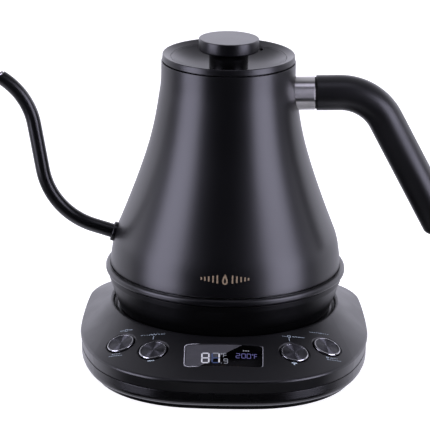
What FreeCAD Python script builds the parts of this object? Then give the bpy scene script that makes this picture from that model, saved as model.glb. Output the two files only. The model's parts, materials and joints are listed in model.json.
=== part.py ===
import FreeCAD, Part
import math
import os

# Electric gooseneck kettle on its powered base, in millimetres.
# Origin: centre of the base's footprint, on the table. +Z up, -Y is the front with the buttons.
# The kettle stands on its own axis, a little behind the centre of the base.

V = FreeCAD.Vector
UP = V(0, 0, 1)

# ---------------------------------------------------------------- driving dimensions
AXIS_Y = 10.5              # the kettle's axis is this far behind the centre of the base
BEAD_R = 75.0              # outside radius of the bead ring at the kettle's foot
WALL = 0.8                 # steel sheet of the kettle
NECK_Z = 188.8             # top edge of the kettle body
NECK_R = 38.2              # radius of the mouth
LID_TOP_Z = 193.3          # top edge of the lid's ring
KNOB_TOP_Z = 203.2         # overall height
GAP = 0.3                  # air between pieces that move past each other

BASE_HALF_X = 90.0         # base footprint
BASE_HALF_Y = 101.5
WIDEST_Y = -5.0            # where the base is widest
BACK_ARCS = (600.0, 45.0, 180.0)    # radii of the base's side, corner and end behind the widest line
FRONT_ARCS = (143.0, 68.5, 260.0)   # and in front of it, where the outline is rounder
CREASE_Z = 20.1            # sharpest line of the base, where wall and panel meet
PARTING_Z = 12.5           # top shell meets bottom shell
RIM_R = 71.0               # rim of the seat that the kettle stands in
RIM_Z = 34.5
SEAT_Z = 30.4              # floor of the seat
SHELL_T = 2.2              # moulded wall of the base
TRAY_Z = 1.2               # underside of the bottom shell
TRAY_FLOOR_Z = 3.4         # inside floor of the bottom shell
FOOT_RING_Z = 0.5          # underside of the set-back ring below the bottom shell's lip

SPOUT_R = 4.4
SPOUT_BORE_R = 3.6
GRIP_R = 10.95
CORE_R = 4.6

BUTTON_R = 8.5
BUTTON_TRAVEL = 0.8
BUTTONS = {
    "hold": (-63.0, -55.9),
    "minus": (-42.9, -69.75),
    "plus": (42.9, -69.75),
    "start": (63.0, -55.9),
}

KETTLE_AXIS = V(0, AXIS_Y, 0)


# ---------------------------------------------------------------- helpers
def save(node, shape):
    """Write one node, after checking that every solid in it is closed and valid."""
    assert shape.isValid() and shape.Volume > 0, node
    assert all(solid.isValid() for solid in shape.Solids), node
    shape.exportStep("parts/%s.step" % node)
    limits = shape.optimalBoundingBox()
    print("%-22s solids %d  volume %9.1f  x %6.1f to %6.1f  y %6.1f to %6.1f  z %5.1f to %5.1f" % (
        node, len(shape.Solids), shape.Volume, limits.XMin, limits.XMax, limits.YMin, limits.YMax,
        limits.ZMin, limits.ZMax))


def group(shapes):
    """Separate solids that share one node."""
    return Part.makeCompound(list(shapes))


def disc(radius, z_low, z_high, centre=KETTLE_AXIS):
    """Upright round bar between two heights."""
    foot = V(centre.x, centre.y, z_low)
    return Part.makeCylinder(radius, z_high - z_low, foot, UP)


def ring(outer, inner, z_low, z_high, centre=KETTLE_AXIS):
    """Upright round ring between two heights."""
    return disc(outer, z_low, z_high, centre).cut(disc(inner, z_low, z_high, centre))


def box(x_low, x_high, y_low, y_high, z_low, z_high):
    """Block between opposite corners."""
    return Part.makeBox(x_high - x_low, y_high - y_low, z_high - z_low, V(x_low, y_low, z_low))


def upright_edges(shape):
    """The straight vertical edges of a block."""
    return [edge for edge in shape.Edges if abs(edge.tangentAt(edge.FirstParameter).z) > 0.9]


def rim_edges(shape):
    """The full circles among a shape's edges."""
    return [edge for edge in shape.Edges if len(edge.Vertexes) == 1]


def turned(outline):
    """Solid of revolution about the kettle's axis from a closed (radius, height) outline."""
    points = [V(r, AXIS_Y, z) for r, z in outline]
    face = Part.Face(Part.makePolygon(points + points[:1]))
    return face.revolve(KETTLE_AXIS, UP, 360)


def turned_edges(edges):
    """Solid of revolution about the kettle's axis from edges that close an outline."""
    return Part.Face(Part.Wire(edges)).revolve(KETTLE_AXIS, UP, 360)


def line(a, b):
    return Part.LineSegment(a, b).toShape()


def arc_through(a, middle, b):
    return Part.Arc(a, middle, b).toShape()


def bend_path(corners, radii):
    """Straight runs joined by tangent arcs, one radius for each inner corner."""
    edges = []
    start = corners[0]
    for before, corner, after, radius in zip(corners, corners[1:], corners[2:], radii):
        back = (before - corner).normalize()
        ahead = (after - corner).normalize()
        half_turn = (math.pi - back.getAngle(ahead)) / 2
        reach = radius * math.tan(half_turn)
        first = corner + back * reach
        last = corner + ahead * reach
        inward = (back + ahead).normalize()
        depth = radius / math.cos(half_turn) - radius
        edges.append(line(start, first))
        edges.append(arc_through(first, corner + inward * depth, last))
        start = last
    edges.append(line(start, corners[-1]))
    return Part.Wire(edges)


def tube_along(path, radius):
    """Round bar swept along a path of lines and tangent arcs."""
    start = path.Edges[0].firstVertex().Point
    heading = path.Edges[0].tangentAt(path.Edges[0].FirstParameter)
    circle = Part.Wire(Part.makeCircle(radius, start, heading))
    return path.makePipeShell([circle], True, True)


# ---------------------------------------------------------------- kettle body
def body_profile(offset):
    """The bell curve of the kettle's wall, moved inwards by offset, from its foot to its neck."""
    bell = [(72.0, 59.0), (71.4, 66.0), (69.7, 76.0), (66.1, 86.0), (59.2, 104.0),
            (51.0, 128.0), (45.1, 152.0), (42.3, 170.0), (41.5, NECK_Z)]
    curve = Part.BSplineCurve()
    curve.interpolate(
        Points=[V(r - offset, AXIS_Y, z) for r, z in bell],
        InitialTangent=UP, FinalTangent=UP)
    return curve


def body_outside():
    """The kettle's outer form as a solid, for cutting what is fitted against it."""
    wall = body_profile(0).toShape()
    foot = wall.firstVertex().Point
    neck = wall.lastVertex().Point
    edges = [wall, line(neck, V(0, AXIS_Y, neck.z)), line(V(0, AXIS_Y, neck.z), V(0, AXIS_Y, foot.z)),
             line(V(0, AXIS_Y, foot.z), foot)]
    return turned_edges(edges)


def body_shell():
    """Drawn steel body: one wall, with a turned-in lip at the mouth."""
    outer = body_profile(0).toShape()
    inner = body_profile(WALL).toShape()
    outer_foot, outer_neck = outer.firstVertex().Point, outer.lastVertex().Point
    inner_foot, inner_neck = inner.firstVertex().Point, inner.lastVertex().Point
    wall = turned_edges([outer, line(outer_neck, inner_neck), inner, line(inner_foot, outer_foot)])
    lip = ring(inner_neck.x + 0.4, NECK_R, NECK_Z - 1.0, NECK_Z)
    spout_hole = Part.makeCylinder(SPOUT_BORE_R, 20, *along_spout(0))
    return wall.fuse(lip).cut(spout_hole).removeSplitter()


# the spout's centre line: out of the body, round the bottom bend, up, and over at the mouth
SPOUT_LINE = [(-60.0, 74.4), (-109.7, 89.3), (-123.9, 167.6), (-153.8, 182.8)]
SPOUT_BENDS = [46.0, 44.0]
MOUTH_HIGH = (-138.1, 179.6)       # upper end of the slanted cut across the mouth
MOUTH_FALL = 17.0                  # degrees that the cut falls towards the tip


def in_side_plane(points):
    """(x, z) points placed in the upright plane through the kettle's axis."""
    return [V(x, AXIS_Y, z) for x, z in points]


def spout_path():
    return bend_path(in_side_plane(SPOUT_LINE), SPOUT_BENDS)


def spout_tube():
    """Gooseneck tube with a level bore and a slanted cut for a mouth."""
    path = spout_path()
    tube = tube_along(path, SPOUT_R).cut(tube_along(path, SPOUT_BORE_R))
    cutter = Part.makeBox(60, 60, 40, V(-60, -30, 0))
    cutter.rotate(V(0, 0, 0), V(0, 1, 0), -MOUTH_FALL)
    cutter.translate(V(MOUTH_HIGH[0] + 6, AXIS_Y, MOUTH_HIGH[1] + 6 * math.tan(math.radians(MOUTH_FALL))))
    return tube.cut(cutter).cut(body_outside())


def along_spout(distance):
    """Point on the straight root of the spout, and the way it heads."""
    a, b = in_side_plane(SPOUT_LINE[:2])
    heading = (b - a).normalize()
    return a + heading * distance, heading


def spout_flange():
    """Turned ring that covers the weld between the spout and the body."""
    start, heading = along_spout(8.0)
    plate = Part.makeCylinder(6.1, 3.6, start, heading)
    plate = plate.makeFillet(0.5, [min(rim_edges(plate), key=lambda edge: edge.CenterOfMass.x)])
    bore = Part.makeCylinder(SPOUT_R, 20, along_spout(0)[0], heading)
    return plate.cut(bore).cut(body_outside())


# the handle's centre line: out of the neck, rising a little, then down and away
HANDLE_LINE = [(36.0, 168.9), (88.6, 170.3), (143.6, 68.4)]
HANDLE_BEND = [32.0]
COLLAR_END_X = 53.6
GRIP_START_X = 54.5
GRIP_FOOT_Z = 80.0


def handle_path():
    return bend_path(in_side_plane(HANDLE_LINE), HANDLE_BEND)


def along_handle(x):
    """Point on the straight run of the handle at a given x, and the way it heads."""
    a, b = in_side_plane(HANDLE_LINE[:2])
    heading = (b - a).normalize()
    return a + heading * ((x - a.x) / heading.x), heading


def handle_core():
    """Bent steel rod, welded to the body, that carries the grip."""
    core_line = HANDLE_LINE[:2] + [(115.0, 121.4)]
    return tube_along(bend_path(in_side_plane(core_line), HANDLE_BEND), CORE_R).cut(body_outside())


def handle_collar():
    """Bright steel sleeve between the body and the grip, saddle-cut to sit on the body."""
    start, heading = along_handle(36.0)
    length = (COLLAR_END_X - 36.0) / heading.x
    sleeve = Part.makeCylinder(10.6, length, start, heading)
    sleeve = sleeve.makeChamfer(0.25, [max(sleeve.Edges, key=lambda edge: edge.CenterOfMass.x)])
    core = Part.makeCylinder(CORE_R, length + 1, start, heading)
    return sleeve.cut(core).cut(body_outside()).cut(handle_set_screw())


def handle_washer():
    """Thin black washer that shows as a dark gap between collar and grip."""
    start, heading = along_handle(COLLAR_END_X)
    washer = Part.makeCylinder(9.9, (GRIP_START_X - COLLAR_END_X) / heading.x, start, heading)
    return washer.cut(Part.makeCylinder(CORE_R, 10, start - heading * 2, heading))


def handle_grip():
    """Bent round grip with a level foot and softened ends."""
    first = along_handle(GRIP_START_X)[0]
    grip_line = [(first.x, first.z)] + HANDLE_LINE[1:]
    bar = tube_along(bend_path(in_side_plane(grip_line), HANDLE_BEND), GRIP_R)
    bar = bar.cut(box(80, 190, -30, 60, 30, GRIP_FOOT_Z))
    foot_edge = min(bar.Edges, key=lambda edge: edge.CenterOfMass.z)
    bar = bar.makeFillet(4.2, [foot_edge])
    mouth_edge = min(bar.Edges, key=lambda edge: edge.CenterOfMass.x)
    bar = bar.makeFillet(0.6, [mouth_edge])
    return bar.cut(handle_core())


def handle_set_screw():
    """Grub screw under the collar that locks it to the core."""
    centre = along_handle(49.0)[0]
    return Part.makeCylinder(1.6, 5.4, V(centre.x, AXIS_Y, centre.z - 10.2), UP)


def bead_ring():
    """Rolled band that covers the joint between the steel body and the plastic skirt."""
    outline = [(72.2, 54.0), (74.0, 54.0), (74.7, 54.5), (BEAD_R, 55.3), (BEAD_R, 56.9), (74.7, 57.7),
               (74.0, 58.2), (72.2, 58.2)]
    return turned(outline)


def lower_skirt():
    """Tapered plastic housing under the body; it holds the heater and the connector."""
    outline = [(72.0, 57.9), (72.0, 53.6), (73.0, 53.2), (72.8, 50.0), (70.6, 43.5), (68.0, 37.0), (66.4, 32.0),
               (65.0, 30.8), (62.4, 30.8), (62.4, 34.6), (64.6, 34.6), (66.0, 38.8), (68.6, 44.3), (70.6, 51.0),
               (70.6, 57.9)]
    return turned(outline)


PROBE_SPOT = V(0, AXIS_Y + 56.0, 0)


def body_floor():
    """Steel floor pressed into the foot of the body."""
    floor = turned([(0, 58.2), (62.0, 58.2), (70.5, 58.2), (70.5, 59.0), (70.9, 59.0), (70.9, 61.5),
                    (70.2, 61.5), (69.6, 59.4), (0, 59.4)])
    return floor.cut(disc(1.6, 55, 62, PROBE_SPOT))


def heat_plate():
    """Aluminium plate brazed under the floor that spreads the heat."""
    return disc(52.0, 55.4, 58.2)


def heating_element():
    """Sheathed element: most of a circle under the heat plate, with both ends turned down."""
    middle_z, circle_r, tube_r = 51.8, 40.0, 3.4
    start, end = math.radians(-60), math.radians(240)

    def spot(angle):
        return V(circle_r * math.cos(angle), AXIS_Y + circle_r * math.sin(angle), middle_z)

    sweep = arc_through(spot(start), spot((start + end) / 2), spot(end))
    heading = sweep.tangentAt(sweep.FirstParameter)
    circle = Part.Wire(Part.makeCircle(tube_r, spot(start), heading))
    element = Part.Wire([sweep]).makePipeShell([circle], True, True)
    tails = [Part.makeCylinder(1.2, 8, spot(angle), V(0, 0, -1)) for angle in (start, end)]
    return element.fuse(tails[0]).fuse(tails[1]).removeSplitter()


def element_clips():
    """Two folded clips that press the element against the heat plate."""
    return group(box(x - 4, x + 4, AXIS_Y + 33, AXIS_Y + 47, 47.2, 48.2) for x in (-6, 6))


def boil_dry_cutout():
    """Bimetal cut-out, sprung against the heat plate."""
    spot = V(0, AXIS_Y + 22.0, 0)
    return disc(7.0, 49.8, 55.4, spot).fuse(disc(4.5, 47.0, 49.8, spot)).removeSplitter()


def temperature_probe():
    """Probe that pokes through the floor beside the wall to feel the water."""
    tip = disc(1.6, 50.0, 70.0, PROBE_SPOT)
    flange = disc(3.2, 55.6, 58.2, PROBE_SPOT)
    return tip.fuse(flange).removeSplitter()


def screw_spots(radius, angles, centre_y=AXIS_Y):
    return [V(radius * math.cos(math.radians(a)), centre_y + radius * math.sin(math.radians(a)), 0)
            for a in angles]


COVER_SCREW_SPOTS = screw_spots(50.0, (30, 150, 270))


def bottom_cover():
    """Plate that closes the skirt from below, with the connector's opening in its middle."""
    plate = disc(62.2, 32.2, 34.4).cut(disc(17.0, 30, 40))
    for spot in COVER_SCREW_SPOTS:
        plate = plate.fuse(ring(3.4, 1.2, 34.4, 40.0, spot)).cut(disc(1.2, 30, 41, spot))
    return plate.removeSplitter()


def pan_screw(spot, head_z, length):
    """Small pan-head screw driven upwards, with a cross recess in its head."""
    screw = disc(2.4, head_z - 1.4, head_z, spot).fuse(disc(1.2, head_z, head_z + length, spot))
    slots = [box(spot.x - a, spot.x + a, spot.y - b, spot.y + b, head_z - 1.5, head_z - 0.7)
             for a, b in ((1.5, 0.3), (0.3, 1.5))]
    return screw.cut(slots[0]).cut(slots[1]).removeSplitter()


def cover_screws():
    return group(pan_screw(spot, 32.2, 7.0) for spot in COVER_SCREW_SPOTS)


def kettle_connector():
    """Round socket under the kettle that drops over the base's connector post from any side."""
    body = ring(16.7, 12.4, 33.0, 46.0).fuse(disc(16.7, 43.8, 46.0)).fuse(ring(20.5, 16.0, 34.5, 36.3))
    return body.cut(disc(2.9, 43, 47)).removeSplitter()


def connector_contacts():
    """The socket's centre contact sleeve and its two spring contacts."""
    sleeve = ring(2.8, 1.9, 37.5, 47.5)
    springs = [box(x - 1.2, x + 1.2, AXIS_Y - 1.5, AXIS_Y + 1.5, 46.0, 48.6) for x in (-10.5, 10.5)]
    return group([sleeve] + springs)


# ---------------------------------------------------------------- lid
def lid_ring():
    """Machined ring round the lid: a short band outside, a top face that slopes inwards."""
    return turned([(37.4, 189.4), (40.8, 189.4), (41.0, 189.6), (40.8, 192.9), (40.5, LID_TOP_Z),
                   (40.0, 193.2), (35.8, 191.5), (35.8, 190.6), (37.4, 190.6)])


def lid_plate():
    """Sunken dish under the knob, a bowl that falls to the foot of the stem."""
    def surface(drop):
        return [V(35.6, AXIS_Y, 191.4 - drop), V(27.0, AXIS_Y, 187.0 - drop), V(11.0, AXIS_Y, 184.4 - drop)]

    top, under = surface(0), surface(1.0)
    edges = [arc_through(*top), line(top[2], V(0, AXIS_Y, 184.4)), line(V(0, AXIS_Y, 184.4), V(0, AXIS_Y, 183.4)),
             line(V(0, AXIS_Y, 183.4), under[2]), arc_through(under[2], under[1], under[0]),
             line(under[0], top[0])]
    dish = turned_edges(edges)
    return dish.cut(disc(2.1, 180, 190)).cut(vent_drill())


VENT_REACH, VENT_Z = 33.2, 189.9   # the steam hole's distance from the axis, and the dish's height there
VENT_ANGLE = 52.0                  # how far round from the handle it sits
VENT_LEAN = 30.0                   # slope of the dish there


def vent_drill():
    """Countersunk drill for the steam hole, square to the dish's slope."""
    drill = disc(1.0, -6, 1, V(0, 0, 0)).fuse(Part.makeCone(1.0, 1.7, 0.7, V(0, 0, -0.5)))
    drill.rotate(V(0, 0, 0), V(0, 1, 0), -VENT_LEAN)
    drill.translate(V(VENT_REACH, 0, VENT_Z))
    drill.rotate(V(0, 0, 0), UP, VENT_ANGLE)
    drill.translate(KETTLE_AXIS)
    return drill


def lid_cup():
    """Thin steel cup that plugs the kettle's mouth below the dish."""
    return turned([(35.6, 190.4), (37.2, 190.4), (37.2, 189.4), (36.4, 189.2), (36.4, 187.4), (35.2, 187.2),
                   (35.2, 184.0), (36.4, 183.8), (36.4, 176.0), (2.1, 176.0), (2.1, 176.8), (34.6, 176.8),
                   (34.6, 189.0), (35.6, 189.4)])


def lid_seal():
    """Silicone ring in the cup's groove."""
    return turned([(35.3, 184.3), (37.6, 185.0), (NECK_R - GAP, 185.6), (37.6, 186.2), (35.3, 186.9)])


def lid_knob():
    """Flat disc knob with softened edges."""
    knob = disc(18.6, 195.6, KNOB_TOP_Z)
    knob = knob.makeFillet(0.9, [min(rim_edges(knob), key=lambda edge: edge.CenterOfMass.z)])
    knob = knob.makeFillet(0.6, [max(rim_edges(knob), key=lambda edge: edge.CenterOfMass.z)])
    return knob.cut(disc(1.7, 190, 199))


def knob_stem():
    """Black stem that flares out where it meets the knob."""
    waist, flare, flare_height = 12.0, 2.9, 4.6
    foot_z, top_z = 184.5, 195.6

    def spot(radius, z):
        return V(radius, AXIS_Y, z)

    neck = spot(waist, top_z - flare_height)
    shoulder = spot(waist + flare, top_z)
    middle = spot(waist + 0.28 * flare, top_z - 0.36 * flare_height)
    edges = [line(spot(2.0, foot_z), spot(waist, foot_z)), line(spot(waist, foot_z), neck),
             arc_through(neck, middle, shoulder), line(shoulder, spot(2.0, top_z)),
             line(spot(2.0, top_z), spot(2.0, foot_z))]
    return turned_edges(edges)


def lid_screw():
    """Screw from inside the lid that pulls the knob, stem, dish and cup together."""
    return disc(4.0, 174.4, 176.0).fuse(disc(1.7, 176.0, 199.0)).removeSplitter()


# ---------------------------------------------------------------- base shells
def outline_wire(inset, z):
    """The base's outline moved inwards by inset: ten tangent arcs, front and back unlike."""
    back, front = quarter_arcs(BACK_ARCS, BASE_HALF_Y - WIDEST_Y), quarter_arcs(FRONT_ARCS, BASE_HALF_Y + WIDEST_Y)
    pieces = [(x, WIDEST_Y + y, r - inset, a, b) for x, y, r, a, b in back]
    pieces += [(-x, WIDEST_Y + y, r - inset, math.pi - b, math.pi - a) for x, y, r, a, b in reversed(back)]
    pieces += [(-x, WIDEST_Y - y, r - inset, math.pi + a, math.pi + b) for x, y, r, a, b in front]
    pieces += [(x, WIDEST_Y - y, r - inset, -b, -a) for x, y, r, a, b in reversed(front)]
    return arcs_wire(pieces, z)


def quarter_arcs(radii, half_y):
    """Side, corner and end arcs of one quarter: centre, radius, and the turn of the normal from and to."""
    side_r, corner_r, end_r = radii
    side_x, end_y = BASE_HALF_X - side_r, half_y - end_r
    to_side, to_end = side_r - corner_r, end_r - corner_r
    # the circles round the side's and the end's centres meet at the corner's centre
    gap = math.hypot(side_x, end_y)
    along = (to_side ** 2 - to_end ** 2 + gap ** 2) / (2 * gap)
    across = math.sqrt(to_side ** 2 - along ** 2)
    ux, uy = -side_x / gap, end_y / gap
    x = side_x + along * ux - across * uy
    y = along * uy + across * ux
    leave_side, meet_end = math.asin(y / to_side), math.acos(x / to_end)
    return [(side_x, 0, side_r, 0, leave_side), (x, y, corner_r, leave_side, meet_end),
            (0, end_y, end_r, meet_end, math.pi / 2)]


def arcs_wire(pieces, z):
    """Wire of arcs, each given by centre, radius, and start and end angle of its outward normal."""
    edges = []
    for x, y, radius, start, end in pieces:
        a, m, b = [V(x + radius * math.cos(t), y + radius * math.sin(t), z)
                   for t in (start, (start + end) / 2, end)]
        edges.append(arc_through(a, m, b))
    return Part.Wire(edges)


def rim_wire(radius, z):
    """A circle round the kettle's axis, cut at the same normals as the outline's arcs."""
    back = [end for _, _, _, _, end in quarter_arcs(BACK_ARCS, BASE_HALF_Y - WIDEST_Y)]
    front = [end for _, _, _, _, end in quarter_arcs(FRONT_ARCS, BASE_HALF_Y + WIDEST_Y)]
    marks = [0] + back + [math.pi - turn for turn in [back[1], back[0], 0]]
    marks += [math.pi + turn for turn in front] + [2 * math.pi - turn for turn in [front[1], front[0], 0]]
    return arcs_wire([(0, AXIS_Y, radius, a, b) for a, b in zip(marks, marks[1:])], z)


def stack(wires):
    return Part.makeLoft(wires, True, True)


def base_form():
    """Outside of the base above the parting line: short wall, soft crease, sloping panel, rim."""
    wall = stack([outline_wire(0.9, PARTING_Z), outline_wire(0, CREASE_Z - 1.1)])
    crease = stack([outline_wire(0, CREASE_Z - 1.1), outline_wire(0.25, CREASE_Z - 0.3),
                    outline_wire(1.1, CREASE_Z + 0.45)])
    panel = stack([outline_wire(1.1, CREASE_Z + 0.45), rim_wire(RIM_R, RIM_Z)])
    return wall.fuse(crease).fuse(panel).removeSplitter()


def panel_frame(form, x, y):
    """Point on the sloping panel above (x, y), and the panel's outward normal there."""
    probe = line(V(x, y, CREASE_Z + 1), V(x, y, RIM_Z + 5))
    hit = max(form.common(probe).Vertexes, key=lambda vertex: vertex.Z).Point
    face = min(form.Faces, key=lambda face: face.distToShape(Part.Vertex(hit))[0])
    u, v = face.Surface.parameter(hit)
    normal = face.normalAt(u, v)
    return hit, normal if normal.z > 0 else normal * -1


def base_cavity():
    """Hollow inside of the top shell, kept clear of the seat."""
    wall = stack([outline_wire(0.9 + SHELL_T, PARTING_Z - 1), outline_wire(SHELL_T, CREASE_Z - 2.4)])
    panel = stack([outline_wire(SHELL_T, CREASE_Z - 2.4), rim_wire(RIM_R, RIM_Z - 2.7)])
    return wall.fuse(panel).cut(disc(RIM_R + SHELL_T, SEAT_Z - SHELL_T, RIM_Z + 5))


WINDOW_X = 23.3
WINDOW_Y = (-87.6, -68.0)
WINDOW_CORNER_R = 2.4


def window_prism(grow, z_low, z_high):
    """Upright bar with rounded corners over the display window's place."""
    x, y_low, y_high = WINDOW_X + grow, WINDOW_Y[0] - grow, WINDOW_Y[1] + grow
    bar = box(-x, x, y_low, y_high, z_low, z_high)
    return bar.makeFillet(WINDOW_CORNER_R + grow, upright_edges(bar))


def base_top_shell(form):
    """Matte top shell: sloping panel with four button holes and a window, and the kettle's seat."""
    shell = form.cut(base_cavity())
    seat = turned([(0, SEAT_Z), (67.6, SEAT_Z), (69.4, SEAT_Z + 1.0), (69.6, RIM_Z - 2.9), (69.75, RIM_Z - 1.9),
                   (70.15, RIM_Z - 1.2), (70.8, RIM_Z - 0.75), (71.6, RIM_Z - 0.55), (73.0, RIM_Z - 0.75),
                   (73.0, RIM_Z + 5), (0, RIM_Z + 5)])
    shell = shell.cut(seat).cut(disc(14.0, 20, 40))
    shell = shell.cut(window_prism(0.15, 10, 50))
    for x, y in BUTTONS.values():
        hit, normal = panel_frame(form, x, y)
        shell = shell.cut(Part.makeCylinder(BUTTON_R + 0.45, 12, hit - normal * 8, normal))
        shell = shell.cut(Part.makeCone(BUTTON_R + 0.45, BUTTON_R + 3.05, 2.0, hit - normal * 0.9, normal))
    for spot in CASE_SCREW_SPOTS:
        boss = disc(3.2, PARTING_Z, RIM_Z, spot).common(form).fuse(disc(3.2, BOSS_FOOT_Z, PARTING_Z, spot))
        shell = shell.fuse(boss).cut(disc(1.3, 0, BOSS_FOOT_Z + 8.0, spot))
    return shell.removeSplitter()


CASE_SCREW_SPOTS = [V(x, y, 0) for x, y in ((-68, 52), (68, 52), (-72, -24), (72, -24))]
BOSS_FOOT_Z = 8.0


def base_bottom_shell():
    """Glossy tray: upright wall rolled under to a lip, a set-back foot ring below, a flat floor and screw wells."""
    wall = [(0.7, PARTING_Z - 0.35), (0.75, 7.3), (0.95, 5.9), (1.4, 4.8), (2.2, 4.0), (3.2, 3.6)]
    foot_ring = [(5.4, 3.7), (5.7, FOOT_RING_Z)]
    inside = [(8.4, TRAY_FLOOR_Z), (5.4, 5.8), (3.2, 8.4), (2.9, PARTING_Z)]
    tray = stack([outline_wire(inset, z) for inset, z in reversed(wall)])
    tray = tray.fuse(stack([outline_wire(inset, z) for inset, z in reversed(foot_ring)]))
    tray = tray.cut(stack([outline_wire(inset, z) for inset, z in inside]))
    tray = tray.cut(stack([outline_wire(8.6, 0), outline_wire(8.6, TRAY_Z)]))
    for spot in CASE_SCREW_SPOTS:
        tray = tray.fuse(ring(4.2, 1.5, TRAY_Z, BOSS_FOOT_Z - 0.2, spot))
        tray = tray.cut(disc(3.0, 0, TRAY_Z + 2.4, spot)).cut(disc(1.5, 0, 12, spot))
    tray = tray.fuse(ring(17.2, 15.2, TRAY_FLOOR_Z - 0.5, 9.6))
    for x, y in FOOT_SPOTS:
        tray = tray.cut(disc(FOOT_R + 0.1, 0, TRAY_Z + 0.9, V(x, y, 0)))
    for vent in range(-3, 4):
        tray = tray.cut(box(vent * 6 - 1, vent * 6 + 1, -52, -34, 0, 5))
    tray = tray.cut(Part.makeCylinder(GLAND_R + 0.1, 12, V(0, BASE_HALF_Y - 10, CORD_Z), V(0, 1, 0)))
    return tray.removeSplitter()


FOOT_R = 7.0
FOOT_SPOTS = [(-56, -64), (56, -64), (-58, 66), (58, 66), (0, -84)]
CORD_R = 3.4
CORD_Z = 6.8
GLAND_R = CORD_R + 1.6


def base_feet():
    """Rubber pads, glued in shallow wells."""
    pads = []
    for x, y in FOOT_SPOTS:
        pad = disc(FOOT_R, 0, TRAY_Z + 0.8, V(x, y, 0))
        sole = min(pad.Edges, key=lambda edge: edge.CenterOfMass.z)
        pads.append(pad.makeChamfer(0.3, [sole]))
    return group(pads)


def base_screws():
    return group(pan_screw(spot, TRAY_Z + 2.4, 8.0) for spot in CASE_SCREW_SPOTS)


def cord_gland():
    """Rubber bush in the back wall, where the mains cord comes in."""
    back = BASE_HALF_Y - 1.0
    bush = Part.makeCylinder(GLAND_R, 6.0, V(0, back - 6.0, CORD_Z), V(0, 1, 0))
    flange = Part.makeCylinder(GLAND_R, 1.2, V(0, back - 7.2, CORD_Z), V(0, 1, 0))
    bore = Part.makeCylinder(CORD_R, 20, V(0, back - 12, CORD_Z), V(0, 1, 0))
    return bush.fuse(flange).cut(bore).removeSplitter()


def cord_clamp():
    """Bridge that would grip the mains cord against the tray, just inside the case."""
    upper = box(-9, 9, 82, 87, CORD_Z + CORD_R, CORD_Z + CORD_R + 2.0)
    posts = [box(x - 1.6, x + 1.6, 82, 87, TRAY_FLOOR_Z, CORD_Z + CORD_R) for x in (-7.2, 7.2)]
    return upper.fuse(posts[0]).fuse(posts[1]).removeSplitter()


# ---------------------------------------------------------------- base insides
def connector_post():
    """Base half of the 360-degree connector: a stepped post that stands up in the seat."""
    post = disc(8.6, 9.8, 41.5)
    top = max(post.Edges, key=lambda edge: edge.CenterOfMass.z)
    post = post.makeFillet(1.2, [top])
    flange = disc(19.2, 25.6, SEAT_Z - SHELL_T)
    body = disc(13.4, 12.0, 25.6)
    collar = disc(13.4, SEAT_Z - SHELL_T, SEAT_Z - 0.6)
    return post.fuse(flange).fuse(body).fuse(collar).cut(disc(1.5, 30, 50)).cut(disc(3.3, 36.5, 50)).removeSplitter()


def contact_rings():
    """Two brass rings let into the post."""
    return group(ring(8.9, 8.6, z, z + 2.2) for z in (33.0, 37.0))


def contact_pin():
    """Centre contact; it slips into the kettle's contact sleeve."""
    pin = disc(1.5, 30.0, 42.6)
    return pin.makeFillet(0.6, [max(pin.Edges, key=lambda edge: edge.CenterOfMass.z)])


def swivel_ring():
    """Loose plastic ring round the post that turns with the kettle as it is swung about."""
    return turned([(9.4, SEAT_Z + 0.3), (12.0, SEAT_Z + 0.3), (12.0, 33.4), (11.4, 34.2), (9.4, 34.2)])


def connector_clamp():
    """Ring that clamps the connector's flange up against the seat."""
    clamp = ring(24.0, 13.8, 23.6, 25.6)
    for spot in screw_spots(22.0, (45, 135, 225, 315)):
        clamp = clamp.fuse(ring(2.6, 1.2, 25.6, SEAT_Z - SHELL_T, spot)).cut(disc(1.2, 20, 40, spot))
    return clamp.removeSplitter()


def clamp_screws():
    return group(pan_screw(spot, 23.6, 4.4) for spot in screw_spots(22.0, (45, 135, 225, 315)))


BOARD_Z = 6.4
BOARD_T = 1.6


def power_board():
    """Mains board on four short pillars behind the connector."""
    board = box(-44, 44, 42, 78, BOARD_Z, BOARD_Z + BOARD_T)
    for x, y in ((-40, 46), (40, 46), (-40, 74), (40, 74)):
        board = board.fuse(disc(2.2, TRAY_FLOOR_Z, BOARD_Z, V(x, y, 0)))
    return board.removeSplitter()


BOARD_TOP = BOARD_Z + BOARD_T


def relay():
    block = box(-38, -19, 48, 64, BOARD_TOP, BOARD_TOP + 15)
    return block.makeFillet(0.6, upright_edges(block))


def transformer():
    """Small transformer: laminated core with a wound bobbin through it."""
    core = box(-12, 12, 50, 66, BOARD_TOP, BOARD_TOP + 14)
    bobbin = box(-8, 8, 46.5, 69.5, BOARD_TOP + 2.5, BOARD_TOP + 11.5)
    return core.fuse(bobbin).removeSplitter()


def capacitors():
    """Two electrolytic cans and the flat mains filter capacitor."""
    cans = [disc(4.0, BOARD_TOP, BOARD_TOP + 13, V(x, 52, 0)) for x in (20, 30)]
    cans = [can.makeFillet(0.5, [max(can.Edges, key=lambda edge: edge.CenterOfMass.z)]) for can in cans]
    return group(cans + [box(18, 34, 62, 69, BOARD_TOP, BOARD_TOP + 12)])


def fuse_holder():
    """Glass fuse in two clips at the board's corner."""
    tube = Part.makeCylinder(2.5, 20, V(-36, 70.5, BOARD_TOP + 3.6), V(1, 0, 0))
    clips = [box(x, x + 3, 67.5, 73.5, BOARD_TOP, BOARD_TOP + 3.6) for x in (-35, -20)]
    return tube.fuse(clips[0]).fuse(clips[1]).removeSplitter()


def buzzer():
    spot = V(-46, -36, 0)
    return ring(5.5, 1.0, TRAY_FLOOR_Z, TRAY_FLOOR_Z + 7, spot).fuse(
        disc(5.5, TRAY_FLOOR_Z, TRAY_FLOOR_Z + 5.5, spot)).removeSplitter()


def display_tilt(form):
    """Middle of the window on the panel, and the panel's normal there."""
    return panel_frame(form, 0, sum(WINDOW_Y) / 2)


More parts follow.
